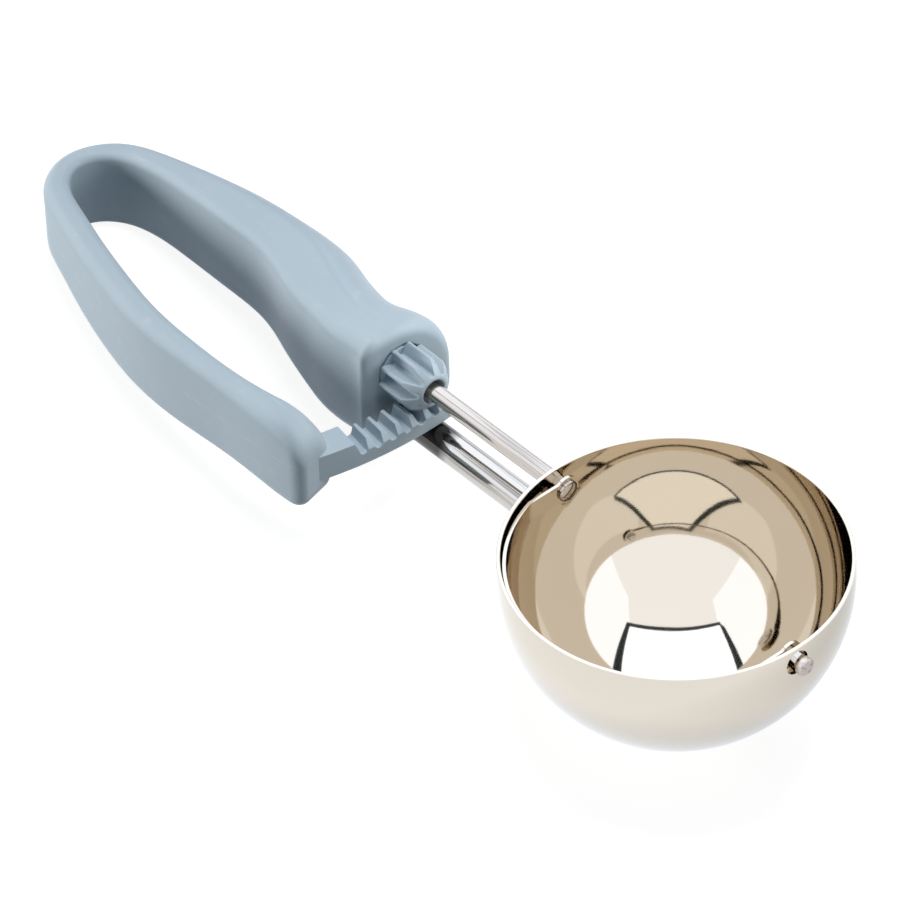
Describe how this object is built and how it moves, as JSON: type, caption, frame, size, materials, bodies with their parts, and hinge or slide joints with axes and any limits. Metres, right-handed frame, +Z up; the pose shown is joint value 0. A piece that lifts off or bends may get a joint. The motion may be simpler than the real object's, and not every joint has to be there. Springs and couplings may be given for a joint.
{
  "type": "lever ice cream scoop",
  "caption": "Squeeze-handle portion scoop: a hemispherical steel bowl whose wiper blade is swept by a rack and pinion in a plastic loop handle.",
  "frame": {"origin": "centre of the bounding box's bottom face, on the table that the scoop lies on", "axes": "+X from the handle to the bowl, +Y from the lever arm towards the grip, +Z up; the spindle rises towards the bowl by 7.81 degrees"},
  "size_m": [0.2198, 0.0738, 0.0461],
  "materials": {
    "bowl_steel": "polished",
    "tube_steel": "polished",
    "rod_steel": "polished",
    "blade_steel": "satin",
    "handle_plastic": "fine matte"
  },
  "bodies": {
    "frame": {"bowl": "bowl_steel", "shank_tube": "tube_steel", "tube_braze": "tube_steel", "grip": "handle_plastic"},
    "lever": {"lever_arm": "handle_plastic", "rack": "handle_plastic"},
    "spindle": {"pinion": "handle_plastic", "spindle": "rod_steel", "wiper_blade": "blade_steel", "pivot_pin": "rod_steel"}
  },
  "joints": [
    {"name": "lever_squeeze", "type": "hinge", "parent": "frame", "child": "lever", "pos_m": [-0.10203, -0.00262, 0.01019], "axis": [-0.1359, 0, 0.9907], "range_deg": [0, 8.49], "stiffness_Nm_per_rad": 8},
    {"name": "spindle_turn", "type": "hinge", "parent": "frame", "child": "spindle", "pos_m": [0.07165, 0.00038, 0.03684], "axis": [0.9907, 0, 0.1359], "range_deg": [0, 160]}
  ],
  "couplings": [
    {"joint": "spindle_turn", "follows": "lever_squeeze", "ratio": 18.847}
  ]
}
